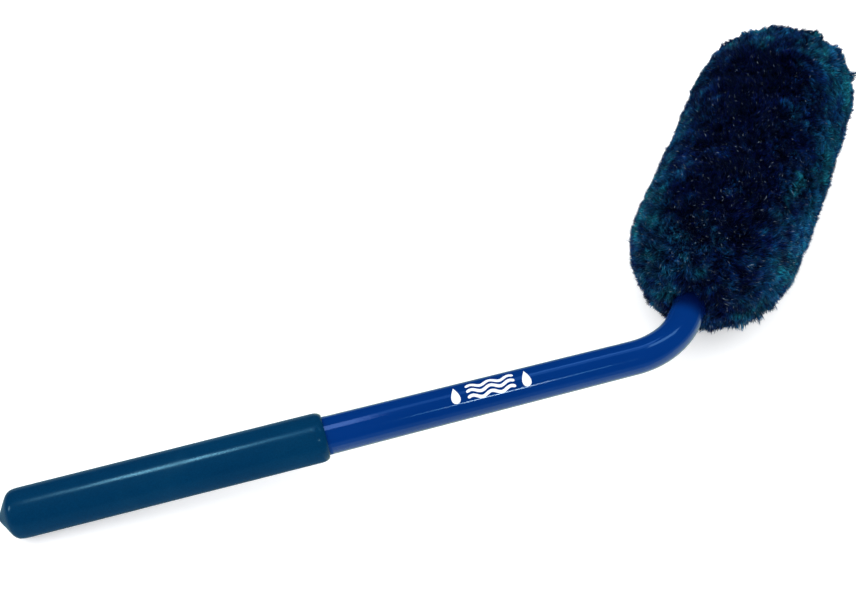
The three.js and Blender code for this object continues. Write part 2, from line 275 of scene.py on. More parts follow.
def handle_gloss():
    a = Mat("handle_gloss")
    a.set(IOR=1.44, Metallic=0.0)
    a.p.inputs["Specular IOR Level"].default_value = 0.5
    a.p.inputs["Specular Tint"].default_value = (0.45, 0.68, 1.0, 1.0)
    tone = a.noise(16.0, 2.0)
    fine = a.noise(420.0, 3.0)
    base = a.ramp(
        tone, [(0.25, (0.0003, 0.0195, 0.122)), (0.75, (0.0005, 0.0250, 0.150))]
    )
    scuff = a.noise(900.0, 2.0, 0.6, ((0.06, 1.0, 1.0), ALONG))
    mark = a.ramp(scuff, [(0.70, 0.0), (0.78, 1.0)])
    patch = a.ramp(a.noise(38.0, 2.0), [(0.50, 0.0), (0.72, 1.0)])
    worn = a.mix(1.0, mark, patch, "MULTIPLY")
    base = a.mix(a.math("MULTIPLY", worn, 0.08), base, (0.03, 0.08, 0.24))
    # painted shade: the last few millimetres of the tube in front of the pile are painted darker, for the pile's shade
    # on it
    mouth_shade = a.math("MULTIPLY", a.attribute("mouth"), a.spread(a.noise(260.0, 2.0), 0.80, 0.95))
    base = a.mix(mouth_shade, base, (0.0003, 0.0018, 0.0260))
    a.colour(base)
    rough = a.spread(fine, 0.06, 0.11)
    rough = a.math("ADD", rough, a.math("MULTIPLY", worn, 0.14))
    a.roughness(rough)
    a.bump(
        (a.noise(60.0, 1.0), 0.05, 0.0012),
        (a.noise(700.0, 2.0), 0.04, 0.0002),
    )
    return a.m


def grip_vinyl():
    a = Mat("grip_vinyl")
    a.set(IOR=1.20)
    a.p.inputs["Specular IOR Level"].default_value = 0.5
    a.p.inputs["Specular Tint"].default_value = (0.40, 0.86, 1.0, 1.0)
    cloud = a.noise(24.0, 3.0, 0.5, ((0.5, 1.0, 1.0), ALONG))
    base = a.ramp(
        cloud, [(0.28, (0.0001, 0.0205, 0.062)), (0.72, (0.0002, 0.0285, 0.079))]
    )
    speck = a.ramp(a.noise(1500.0, 2.0, 0.6), [(0.30, 0.85), (0.62, 1.05)])
    base = a.mix(1.0, base, speck, "MULTIPLY")
    rub = a.ramp(a.noise(55.0, 4.0, 0.6), [(0.55, 0.0), (0.80, 1.0)])
    base = a.mix(a.math("MULTIPLY", rub, 0.08), base, (0.001, 0.06, 0.13))
    a.colour(base)
    rough = a.spread(a.noise(300.0, 3.0), 0.15, 0.21)
    rough = a.math("ADD", rough, a.math("MULTIPLY", rub, 0.10))
    a.roughness(rough)
    a.bump(
        (a.noise(45.0, 2.0, 0.5, ((0.35, 1.0, 1.0), ALONG)), 0.10, 0.0016),
        (a.noise(1100.0, 2.0), 0.08, 0.00018),
    )
    return a.m


def pile_colours(a, tip, rand):
    """Painted shade near-black at the root and navy up the fibre, and at the tip anything from navy through blue to
    teal, in broad and small patches."""
    value = a.math(
        "ADD",
        a.math("MULTIPLY", a.noise(30.0, 2.0, 0.5, distortion=0.4), 0.80),
        a.math("MULTIPLY", a.noise(150.0, 3.0, 0.6), 1.75),
    )
    value = a.math("ADD", value, a.math("MULTIPLY", a.noise(420.0, 2.0, 0.5), 0.80))
    # a few small patches catch the light, and a few are matted and dark
    lit = a.ramp(a.noise(92.0, 1.0, 0.5), [(0.57, 0.0), (0.70, 1.0)])
    matted = a.ramp(a.noise(118.0, 1.0, 0.5), [(0.56, 0.0), (0.70, 1.0)])
    value = a.math("ADD", value, a.math("MULTIPLY", lit, 0.42))
    value = a.math("SUBTRACT", value, a.math("MULTIPLY", matted, 0.34))
    value = a.math("ADD", value, -1.03)
    # painted light and shade: the tips are darker along the top of the head and paler on its sides and ends
    value = a.math("SUBTRACT", value, a.math("MULTIPLY", a.attribute("band"), 0.50))
    value = a.math("MULTIPLY", value, 0.8)
    hue = a.ramp(a.noise(64.0, 2.0, 0.5), [(0.38, 0.0), (0.60, 1.0)])
    blue = a.ramp(
        value,
        [
            (0.016, (0.0004, 0.0010, 0.0310)),
            (0.224, (0.0010, 0.0058, 0.0720)),
            (0.464, (0.0030, 0.0330, 0.1500)),
            (0.720, (0.0050, 0.0760, 0.2150)),
            (0.960, (0.0100, 0.1500, 0.3500)),
        ],
    )
    teal = a.ramp(
        value,
        [
            (0.016, (0.0006, 0.0016, 0.0290)),
            (0.224, (0.0014, 0.0088, 0.0620)),
            (0.464, (0.0042, 0.0480, 0.1220)),
            (0.720, (0.0060, 0.1080, 0.1760)),
            (0.960, (0.0120, 0.2150, 0.2950)),
        ],
    )
    ends = a.mix(hue, blue, teal)
    shade = a.ramp(rand, [(0.0, 0.20), (0.5, 0.70), (0.8, 1.40), (1.0, 2.7)])
    ends = a.mix(1.0, ends, shade, "MULTIPLY")
    # painted shade: roots and stalks are painted near-black and navy, for the shade deep in the pile
    root = (0.0003, 0.0010, 0.0075)
    navy = a.mix(0.72, ends, (0.0005, 0.0020, 0.0190))
    shaded_stalk = a.mix(a.ramp(tip, [(0.10, 0.0), (0.60, 1.0)]), root, navy)
    return a.mix(a.ramp(tip, [(0.52, 0.0), (0.94, 1.0)]), shaded_stalk, ends)


def pile_fibre():
    a = Mat("pile_fibre")
    a.set(IOR=1.5, Roughness=0.5)
    a.p.inputs["Specular IOR Level"].default_value = 0.09
    a.p.inputs["Specular Tint"].default_value = (0.30, 0.75, 1.0, 1.0)
    tip = a.attribute("tip")
    base = pile_colours(a, tip, a.attribute("shade"))
    # a few fibres have pale, frosted ends
    pale = a.attribute("pale")
    end = a.ramp(tip, [(0.74, 0.0), (0.85, 1.0)])
    base = a.mix(a.mix(1.0, pale, end, "MULTIPLY"), base, (0.230, 0.290, 0.350))
    a.colour(base)
    return a.m


def pile_mass():
    a = Mat("pile_mass")
    a.set(IOR=1.4)
    a.p.inputs["Specular IOR Level"].default_value = 0.05
    a.p.inputs["Specular Tint"].default_value = (0.30, 0.60, 1.0, 1.0)
    wool = a.noise(900.0, 4.0, 0.7)
    strands = a.noise(1500.0, 2.0, 0.6, ((1.0, 1.0, 0.2), (0.4, 0.3, 0.0)))
    # painted shade: the felt is painted near-black navy, for the shade deep inside the pile
    base = a.ramp(wool, [(0.3, (0.0005, 0.0010, 0.0090)), (0.7, (0.0010, 0.0040, 0.0260))])
    a.colour(a.mix(a.math("MULTIPLY", strands, 0.5), base, (0.0009, 0.0030, 0.0160)))
    a.roughness(a.spread(wool, 0.8, 0.95))
    a.bump((wool, 0.8, 0.0008), (strands, 0.5, 0.0004))
    return a.m


def knit():
    a = Mat("knit_backing")
    a.set(IOR=1.5)
    a.p.inputs["Specular IOR Level"].default_value = 0.2
    a.p.inputs["Sheen Weight"].default_value = 0.2
    yarn = a.voronoi(900.0, stretch=((1.0, 1.0, 0.6), (0.0, 0.0, HEADING)))
    slub = a.noise(140.0, 4.0, 0.6)
    base = a.ramp(yarn, [(0.1, (0.010, 0.030, 0.075)), (0.7, (0.002, 0.007, 0.022))])
    a.colour(a.mix(slub, base, (0.006, 0.020, 0.050)))
    a.roughness(a.spread(slub, 0.75, 0.95))
    a.bump((yarn, 0.6, 0.0004))
    return a.m


def foam():
    a = Mat("core_foam")
    a.set(IOR=1.45)
    a.p.inputs["Specular IOR Level"].default_value = 0.25
    cells = a.voronoi(700.0, "F1")
    cloud = a.noise(60.0, 4.0)
    base = a.ramp(cells, [(0.1, (0.030, 0.032, 0.036)), (0.6, (0.060, 0.063, 0.070))])
    a.colour(a.mix(cloud, base, (0.040, 0.043, 0.048)))
    a.roughness(a.spread(cloud, 0.80, 0.95))
    a.bump((cells, 0.5, 0.0004))
    return a.m


def black_nylon():
    a = Mat("black_plastic")
    a.set(IOR=1.5)
    grain = a.noise(1600.0, 3.0)
    cloud = a.noise(90.0, 2.0)
    a.colour(a.ramp(cloud, [(0.3, (0.009, 0.009, 0.010)), (0.7, (0.017, 0.017, 0.019))]))
    a.roughness(a.spread(grain, 0.42, 0.58))
    a.bump((grain, 0.15, 0.0001))
    return a.m


def zinc():
    a = Mat("zinc_steel")
    a.set(Metallic=1.0)
    turned = a.noise(1200.0, 2.0, 0.5, ((1.0, 1.0, 0.08), (0.0, 0.0, HEADING)))
    spangle = a.voronoi(260.0)
    a.colour(
        a.mix(
            a.math("MULTIPLY", spangle, 0.6),
            a.ramp(turned, [(0.3, (0.50, 0.51, 0.53)), (0.7, (0.62, 0.63, 0.65))]),
            (0.44, 0.46, 0.50),
        )
    )
    a.roughness(a.spread(turned, 0.28, 0.42))
    a.bump((turned, 0.12, 0.0001))
    return a.m


def white_ink():
    a = Mat("white_ink")
    a.set(IOR=1.45)
    a.p.inputs["Specular IOR Level"].default_value = 0.4
    screen = a.noise(1300.0, 3.0, 0.6)
    thin = a.ramp(a.noise(380.0, 4.0, 0.65), [(0.62, 0.0), (0.80, 1.0)])
    base = a.ramp(screen, [(0.25, (0.66, 0.71, 0.78)), (0.65, (0.80, 0.83, 0.88))])
    a.colour(a.mix(a.math("MULTIPLY", thin, 0.55), base, (0.20, 0.30, 0.55)))
    a.roughness(a.spread(screen, 0.34, 0.50))
    a.bump((screen, 0.2, 0.00005))
    return a.m


MATS = {
    "handle_gloss": handle_gloss(),
    "grip_vinyl": grip_vinyl(),
    "pile_fibre": pile_fibre(),
    "pile_mass": pile_mass(),
    "knit_backing": knit(),
    "core_foam": foam(),
    "black_plastic": black_nylon(),
    "zinc_steel": zinc(),
    "white_ink": white_ink(),
}

for node, mat in {
    "tail_plug": "black_plastic",
    "nose_plug": "black_plastic",
    "stop_collar": "black_plastic",
    "neck_tie": "black_plastic",
    "collar_pin": "zinc_steel",
    "front_washer": "zinc_steel",
    "nose_screw": "zinc_steel",
    "core_body": "core_foam",
    "core_nose": "core_foam",
    "backing_sleeve": "knit_backing",
    "backing_tip": "knit_backing",
    "seam_allowance": "knit_backing",
    "tip_seam": "knit_backing",
}.items():
    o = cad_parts[node]
    o.data.materials.clear()
    o.data.materials.append(MATS[mat])


# ------------------------------------------------------------------ the handle
def frame_at(tangent):
    """Two directions across a tangent: one level, one towards +Z."""
    side = np.cross(tangent, UP)
    side /= np.linalg.norm(side)
    return side, np.cross(side, tangent)


def tube_radius(s):
    if s <= GRIP_LENGTH:
        return TUBE_R_TAIL
    if s < STRAIGHT - 6:
        t = (s - GRIP_LENGTH) / (STRAIGHT - 6 - GRIP_LENGTH)
        return TUBE_R_TAIL + (TUBE_R_STEM + 0.03 - TUBE_R_TAIL) * t
    return TUBE_R_STEM


def tube_stations():
    """(point, tangent, outer radius, share round the bend) along the tube."""
    rows = []
    s = TUBE_START
    stops = [TUBE_START + 0.0]
    stops += list(np.arange(14.0, STRAIGHT - 1.0, 4.0))
    for s in stops:
        rows.append((TAIL + H * s, H, tube_radius(s), 0.0))
    steps = 44
    for i in range(steps + 1):
        a = BEND_ANGLE * (1 - i / steps)
        rows.append(
            (
                bend_point(a),
                math.cos(a) * D + math.sin(a) * M,
                TUBE_R_STEM,
                math.sin(math.pi * i / steps),
            )
        )
    for x in list(np.arange(1.0, 12.0, 1.0)) + list(np.arange(12.0, 60.0, 4.0)) + [80.0, 110.0, 140.0, STEM]:
        rows.append((HEAD0 + D * x, D, TUBE_R_STEM, 0.0))
    return rows


def make_tube():
    rows = tube_stations()
    sides = 72
    ang = np.linspace(0, 2 * math.pi, sides, endpoint=False)
    plane = np.cross(M, D)  # normal of the bend's plane
    plane /= np.linalg.norm(plane)
    rings = []

    def ring(row, radius):
        point, tangent, r, bent = row
        across = np.cross(plane, tangent)
        across /= np.linalg.norm(across)
        # a cold bend flattens the tube a little across its plane
        wide = 1 + 0.018 * bent
        flat = 1 - 0.022 * bent
        return (
            point
            + radius
            * (
                flat * np.cos(ang)[:, None] * across
                + wide * np.sin(ang)[:, None] * plane
            )
        )

    # outside from tail to stem, then the bore back to the tail
    edge = 0.35
    outer = [(rows[0], rows[0][2] - edge)] + [(r, r[2]) for r in rows]
    outer.append((rows[-1], rows[-1][2] - edge))
    pts = [ring(r, rad) for r, rad in outer]
    pts[0] = pts[0] - H * edge * 0.0
    pts[1] = pts[1] + H * edge
    pts[-2] = pts[-2] - D * edge
    inner = [(r, r[2] - TUBE_WALL) for r in rows[::-1]]
    pts += [ring(r, rad) for r, rad in inner]
    n = len(pts)
    verts = np.concatenate(pts)
    faces = []
    for i in range(n):
        j = (i + 1) % n
        for k in range(sides):
            l = (k + 1) % sides
            faces.append((i * sides + k, i * sides + l, j * sides + l, j * sides + k))
    o = mesh_object("handle_tube_fine", verts, faces)
    return o, rows, sides, n


def strip_uv(o, coords):
    """The bake's own UV map: coords gives (u, v) for each loop."""
    uv = o.data.uv_layers.new(name="OFBake")
    uv.data.foreach_set("uv", np.asarray(coords, np.float32).ravel())


def make_outward(o):
    """Turns the faces out if the closed mesh is inside out."""
    me = o.data
    co = np.empty(len(me.vertices) * 3, np.float64)
    me.vertices.foreach_get("co", co)
    co = co.reshape(-1, 3)
    me.calc_loop_triangles()
    tri = np.empty(len(me.loop_triangles) * 3, np.int64)
    me.loop_triangles.foreach_get("vertices", tri)
    a, b, c = (co[tri.reshape(-1, 3)[:, k]] for k in range(3))
    if np.einsum("ij,ij->i", a, np.cross(b, c)).sum() < 0:
        me.flip_normals()
    me.update()


tube, tube_rows, tube_sides, tube_rings = make_tube()
make_outward(tube)


def paint_mouth_shade(o):
    """How far each point of the tube is into the pile's mouth, from 0 to 1: the mask of the shade painted there."""
    co = np.empty(len(o.data.vertices) * 3)
    o.data.vertices.foreach_get("co", co)
    rel = co.reshape(-1, 3) / MM - HEAD0
    x = rel @ D
    off = np.linalg.norm(rel - x[:, None] * D, axis=1)
    k = np.clip((x + 2.5) / 8.5, 0, 1)
    k = k * k * (3 - 2 * k) * (off < 12.0)
    at = o.data.attributes.new("mouth", "FLOAT", "POINT")
    at.data.foreach_set("value", k.astype(np.float32))


paint_mouth_shade(tube)
tube.data.materials.append(MATS["handle_gloss"])
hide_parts("handle_tube")


def turned_object(name, origin, axis, profile, sides, wobble=None):
    """A body of revolution whose profile starts and ends on the axis."""
    side, up = frame_at(axis)
    ang = np.linspace(0, 2 * math.pi, sides, endpoint=False)
    verts = [origin + axis * profile[0][0]]
    mid = profile[1:-1]
    for x, r in mid:
        rr = np.full(sides, r, float)
        xx = np.full(sides, x, float)
        if wobble is not None:
            rr, xx = wobble(x, r, ang)
        verts.extend(
            origin
            + axis * xx[:, None]
            + rr[:, None] * (np.cos(ang)[:, None] * side + np.sin(ang)[:, None] * up)
        )
    verts.append(origin + axis * profile[-1][0])
    last = len(verts) - 1
    faces = []
    for k in range(sides):
        l = (k + 1) % sides
        faces.append((0, 1 + k, 1 + l))
        faces.append((last, 1 + (len(mid) - 1) * sides + l, 1 + (len(mid) - 1) * sides + k))
    for i in range(len(mid) - 1):
        for k in range(sides):
            l = (k + 1) % sides
            faces.append(
                (1 + i * sides + k, 1 + (i + 1) * sides + k, 1 + (i + 1) * sides + l, 1 + i * sides + l)
            )
    o = mesh_object(name, np.array(verts), faces)
    make_outward(o)
    return o


def smooth_profile(points, step, corner=0.0):
    """Points on a smooth line through the given ones, about a step apart."""
    pts = np.array(points, float)
    seg = np.linalg.norm(np.diff(pts, axis=0), axis=1)
    t = np.concatenate([[0], np.cumsum(seg)])
    out = []
    for i in range(len(pts) - 1):
        p0 = pts[max(i - 1, 0)]
        p1, p2 = pts[i], pts[i + 1]
        p3 = pts[min(i + 2, len(pts) - 1)]
        n = max(1, int(round(seg[i] / step)))
        for k in range(n):
            u = k / n
            # Catmull-Rom, with tangents scaled to uneven spacing
            m1 = (p2 - p0) / max(t[i + 1] - t[max(i - 1, 0)], 1e-6) * seg[i]
            m2 = (p3 - p1) / max(t[min(i + 2, len(pts) - 1)] - t[i], 1e-6) * seg[i]
            h = (
                (2 * u**3 - 3 * u**2 + 1) * p1
                + (u**3 - 2 * u**2 + u) * m1
                + (-2 * u**3 + 3 * u**2) * p2
                + (u**3 - u**2) * m2
            )
            out.append(h)
    out.append(pts[-1])
    return out


def make_grip():
    outside = smooth_profile(
        [
            (0.0, 0.9),
            (0.08, 1.5),
            (0.5, 2.35),
            (1.4, 3.75),
            (2.9, 6.2),
            (4.5, 8.75),
            (5.5, 10.0),
            (6.8, 10.85),
            (8.6, 11.25),
            (11.5, 11.38),
        ],
        0.45,
    )
    long_run = [(x, 11.38 - 0.08 * (x - 11.5) / 131.0) for x in np.arange(15.0, 140.0, 3.0)]
    lip = smooth_profile(
        [
            (141.0, 11.29),
            (142.8, 11.31),
            (144.4, 11.16),
            (145.7, 10.75),
            (146.6, 10.15),
            (147.0, 9.62),
            (146.9, 9.28),
            (146.3, 9.12),
        ],
        0.35,
    )
    bore = [(x, 9.1) for x in (143.0, 120.0, 90.0, 60.0, 30.0, 9.0)]
    bottom = [(8.1, 9.05), (7.5, 8.6), (7.2, 7.6), (7.2, 4.0)]
    profile = [(0.0, 0.0)] + [tuple(p) for p in outside] + long_run
    profile += [tuple(p) for p in lip] + bore + bottom + [(7.2, 0.0)]

    def wobble(x, r, ang):
        rr = np.full(len(ang), r, float)
        xx = np.full(len(ang), x, float)
        if r > 9.2 or x < 7.0:  # the outside only
            p = np.stack([np.full(len(ang), x), r * np.cos(ang), r * np.sin(ang)], 1)
            fade = min(1.0, x / 9.0)
            rr += fade * 0.10 * (noise3(p * (0.35, 1, 1), 14.0, 71) - 0.5)
            rr += fade * 0.05 * (noise3(p, 4.5, 72) - 0.5)
            # the drip at the nub is a little off centre, and the lip runs unevenly
            if x < 3.0:
                rr += (1 - x / 3.0) * 0.25 * np.cos(ang + 0.9) * min(1.0, r / 1.5)
            if x > 142:
                xx += (x - 142) / 5.0 * 0.22 * (np.sin(ang + 0.6) + 0.4 * np.sin(3 * ang))
        return rr, xx

    return turned_object("grip_sleeve_fine", TAIL, H, profile, 96, wobble)


grip = make_grip()
grip.data.materials.append(MATS["grip_vinyl"])
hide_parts("grip_sleeve")


# ------------------------------------------------------------- the printed mark
def printed(name, outline_rows, s0, lift=0.03, thick=0.05):
    """A thin closed film on the tube. outline_rows is a grid [row][column] of (u, v):
    u along the handle from s0, v round the tube from its middle line."""
    side, up = frame_at(H)
    middle = math.radians(78)
    grid = np.array(outline_rows, float)
    rows, cols = grid.shape[:2]
    shells = []
    for level in (lift, lift + thick):
        flat = grid.reshape(-1, 2)
        r = np.array([tube_radius(s0 + u) for u, _ in flat]) + level
        a = middle + flat[:, 1] / r
        shells.append(
            TAIL
            + H * (s0 + flat[:, 0])[:, None]
            + r[:, None] * (np.cos(a)[:, None] * side + np.sin(a)[:, None] * up)
        )
    verts = np.concatenate(shells)
    n = rows * cols
    return verts, n, rows, cols


def film(name, grid, s0, closed):
    """closed: each row is a loop round the shape, and the first row shrinks to a point."""
    verts, n, rows, cols = printed(name, grid, s0)
    faces = []
    for i in range(rows - 1):
        for k in range(cols if closed else cols - 1):
            l = (k + 1) % cols
            a, b, c, d = i * cols + k, i * cols + l, (i + 1) * cols + l, (i + 1) * cols + k
            faces.append((a + n, b + n, c + n, d + n))
            faces.append((d, c, b, a))
    verts = list(verts)
    if closed:
        centre = len(verts)
        middle = np.mean(np.array(grid[0], float), axis=0)
        both = printed(name, [[tuple(middle)]], s0)[0]
        verts.append(both[0])
        verts.append(both[1])
        for k in range(cols):
            l = (k + 1) % cols
            faces.append((centre, l, k))
            faces.append((centre + 1, k + n, l + n))
            e = (rows - 1) * cols
            faces.append((e + k, e + l, e + l + n, e + k + n))
    else:
        e = (rows - 1) * cols
        for k in range(cols - 1):
            faces.append((k, k + 1, k + 1 + n, k + n)[::-1])
            faces.append((e + k, e + k + 1, e + k + 1 + n, e + k + n))
        for i in range(rows - 1):
            a, b = i * cols, (i + 1) * cols
            faces.append((a, b, b + n, a + n))
            a, b = a + cols - 1, b + cols - 1
            faces.append((a, b, b + n, a + n)[::-1])
    o = mesh_object(name, np.array(verts), faces)
    me = o.data
    bm = bmesh.new()
    bm.from_mesh(me)
    bmesh.ops.recalc_face_normals(bm, faces=bm.faces)
    bm.to_mesh(me)
    bm.free()
    make_outward(o)
    me.materials.append(MATS["white_ink"])
    return o


def drop_grid(u0, height):
    """A water drop, point up the tube, as rings round its middle."""
    t = np.linspace(0, 2 * math.pi, 48, endpoint=False)
    w = 0.36 * height
    y = 0.5 * height * np.cos(t)
    x = w * np.sin(t) * np.sin(t / 2) ** 1.5
    x = np.where(np.abs(np.sin(t / 2)) < 1e-6, 0, x)
    return [
        [(u0 + f * px, f * (py + 0.12 * height) - 0.12 * height) for px, py in zip(x, y)]
        for f in (0.25, 0.5, 0.75, 1.0)
    ]


def wave_grid(u0, u1, v0, width, swing, turns):
    n = 72
    rows = []
    for i in range(n + 1):
        f = i / n
        u = u0 + (u1 - u0) * f
        v = v0 + swing * math.sin(2 * math.pi * turns * f)
        slope = swing * 2 * math.pi * turns / (u1 - u0) * math.cos(2 * math.pi * turns * f)
        nx, ny = -slope / math.hypot(1, slope), 1 / math.hypot(1, slope)
        end = min(1.0, math.sqrt(max(0.0, 1 - (1 - min(f, 1 - f) * n / 3) ** 2)) if min(f, 1 - f) * n < 3 else 1.0)
        half = max(0.12, width / 2 * end)
        rows.append([(u + nx * q * half, v + ny * q * half) for q in (-1, -0.33, 0.33, 1)])
    return rows


PRINT_START = 204.5
film("mark_drop_a", drop_grid(2.9, 8.2), PRINT_START, True)
for i, v in enumerate((2.75, 0.0, -2.75)):
    film("mark_wave_%d" % (i + 1), wave_grid(8.2, 30.6, v, 1.45, 0.8, 2.5), PRINT_START, False)
film("mark_drop_b", drop_grid(35.9, 8.2), PRINT_START, True)


# --------------------------------------------------------------------- the pile
def resample(points, n):
    p = np.array(points, float)
    t = np.concatenate([[0], np.cumsum(np.linalg.norm(np.diff(p, axis=0), axis=1))])
    u = np.linspace(0, t[-1], n)
    return np.stack([np.interp(u, t, p[:, 0]), np.interp(u, t, p[:, 1])], 1)


def shoulder(u):
    return (
        PILE_START + PILE_SHOULDER * u,
        PILE_NECK_R + (PILE_R - PILE_NECK_R) * (1 - (1 - u) ** 1.41) ** (1 / 1.41),
    )


def nose(u):
    return (
        PILE_START + PILE_LENGTH - PILE_NOSE * (1 - u),
        PILE_R * max(0.0, 1 - u**4.0) ** 0.25,
    )


# Matching stretches of the backing's outside and the pile's outside, from the neck to
# the tip. A fibre grows from a point on one to the same share of the other.
STRETCHES = [
    (
        [(22.0, 9.7), (28.2, 12.0)],
        [(7.3, 8.5), (8.3, 11.4), (11.3, 16.3), (14.5, 21.0), (16.2, PILE_NECK_R)],
    ),
    (
        [(28.2, 12.0), (37.2, 14.8), (45.0, 23.6), (52.6, BACKING_R)],
        [shoulder(u) for u in np.linspace(0.005, 1, 24)],
    ),
    ([(52.6, BACKING_R), (162.0, BACKING_R)], [(52.0, PILE_R), (153.0, PILE_R)]),
    (
        [(162.0, BACKING_R), (177.0, BACKING_R - 0.3), (181.2, 25.2), (184.6, 20.8)],
        [nose(u) for u in np.linspace(0, 0.90, 24)],
    ),
    (
        [(184.6, 20.8), (186.9, 14.4), (188.2, 7.2), (188.5, 0.0)],
        [nose(u) for u in np.concatenate([np.linspace(0.90, 0.995, 16), [1.0]])],
    ),
]
BACK, OUTER = [], []
for back, out in STRETCHES:
    length = np.linalg.norm(np.diff(np.array(out), axis=0), axis=1).sum()
    n = max(12, int(length / 0.8))
    b, q = resample(back, n), resample(out, n)
    if BACK:
        b, q = b[1:], q[1:]
    BACK.extend(b)
    OUTER.extend(q)
BACK, OUTER = np.array(BACK), np.array(OUTER)
ARC = np.concatenate([[0], np.cumsum(np.linalg.norm(np.diff(OUTER, axis=0), axis=1))])
ARC_LENGTH = ARC[-1]
BENCH = 0.15  # the pile's lowest fibres stop this far above the bench


def on_outer(s):
    return np.stack([np.interp(s, ARC, OUTER[:, 0]), np.interp(s, ARC, OUTER[:, 1])], 1)


def on_back(s):
    return np.stack([np.interp(s, ARC, BACK[:, 0]), np.interp(s, ARC, BACK[:, 1])], 1)


def place(xr, phi):
    """Points (x along the head, r from its axis) at angle phi, as places in the frame."""
    lateral = xr[:, 1] * np.cos(phi)
    # the tip disc sits a little askew on the core
    lean = np.clip((xr[:, 0] - 120.0) / 80.0, 0, 1) ** 2
    x = xr[:, 0] - 0.100 * lean * lateral
    return (
        HEAD0
        + x[:, None] * D
        + (xr[:, 1] * np.cos(phi))[:, None] * SIDE
        + (xr[:, 1] * np.sin(phi))[:, None] * UP
    )


# Where the pile stands fuller or thinner than its mean: (x along the head, angle round
# it in degrees, spread in x, spread in angle, amount in mm).
FULLER = [
    (30, 6, 12, 30, 1.8),
    (18, -25, 8, 25, 0.4),
    (17, 14, 6, 18, -1.2),
    (92, 12, 18, 35, -0.4),
    (160, 12, 14, 35, 1.2),
    (197, 24, 7, 28, -1.8),
    (100, 190, 26, 35, 1.5),
    (192, 185, 9, 34, 1.3),
    (201, 90, 8, 50, -1.1),
    (16, 215, 9, 26, -1.8),
    (34, 192, 9, 24, 1.5),
    (179, 82, 7, 13, -1.1),
    (173, 56, 5, 7, -1.3),
    (185, 111, 5, 8, 1.1),
    (180, 136, 6, 8, 0.8),
    (8, 343, 5, 14, 1.4),
    (44, 164, 12, 11, -0.8),
]


def fuller(x, phi):
    total = np.zeros(len(x))
    for x0, a0, sx, sa, amount in FULLER:
        turn = (np.degrees(phi) - a0 + 180.0) % 360.0 - 180.0
        total += amount * np.exp(-0.5 * ((x - x0) / sx) ** 2 - 0.5 * (turn / sa) ** 2)
    return total


def press(p, rng=None):
    """Fibres that would pass through the bench lie along it instead."""
    z = p[:, 2] - BENCH
    soft = 2.2
    p = p.copy()
    low = z < soft
    # smooth approach to the bench: never below it
    zz = np.where(low, soft * np.exp(np.clip((z - soft) / soft, -6, 0)), z)
    if rng is not None:
        zz = np.where(low, zz * (0.55 + 0.45 * rng.random(len(zz))), zz)
    p[:, 2] = BENCH + np.maximum(zz, 0)
    return p


def fibres(seed, count):
    """Where each fibre grows on the head: its place along the outline and its angle round, spread evenly by area."""
    rng = np.random.default_rng(seed)
    # spread evenly over the outside: by area, so by arc length times radius
    mid = (ARC[1:] + ARC[:-1]) / 2
    r_mid = (OUTER[1:, 1] + OUTER[:-1, 1]) / 2
    weight = np.diff(ARC) * np.maximum(r_mid, 1.2)
    weight *= np.where(mid < 22.0, 1.45, 1.0)  # the neck is tied in, so it is denser
    cum = np.concatenate([[0], np.cumsum(weight)])
    cum /= cum[-1]
    order = (np.arange(count) + rng.random(count)) / count
    s = np.interp(order, cum, ARC)
    phi = 2 * math.pi * ((np.arange(count) * 0.6180339887498949) % 1.0)
    phi += rng.normal(0, 0.004, count)
    return rng, s, phi


# Two sizes of tuft: broad locks, and the small tufts in them.
def centres(seed, spacing):
    rng = np.random.default_rng(seed)
    area = 0.0
    for i in range(len(ARC) - 1):
        area += (ARC[i + 1] - ARC[i]) * 2 * math.pi * (OUTER[i, 1] + OUTER[i + 1, 1]) / 2
    n = int(area / (0.85 * spacing * spacing))
    _, s, phi = fibres(seed, n)
    p = place(on_outer(s), phi)
    p += rng.normal(0, spacing * 0.18, p.shape)
    tree = KDTree(n)
    for i, q in enumerate(p):
        tree.insert(q, i)
    tree.balance()
    return s, phi, p, tree, rng


def nearest(tree, points):
    return np.array([tree.find(q)[1] for q in points], np.int64)


# Three sizes of tuft in all: the smallest are wisps of five or six fibres.
FIBRES = 150000
RINGS = (0.0, 0.42, 0.76)  # shares of the fibre with a ring, then its point
WIDTH = np.array([0.185, 0.175, 0.120]) * 1.0


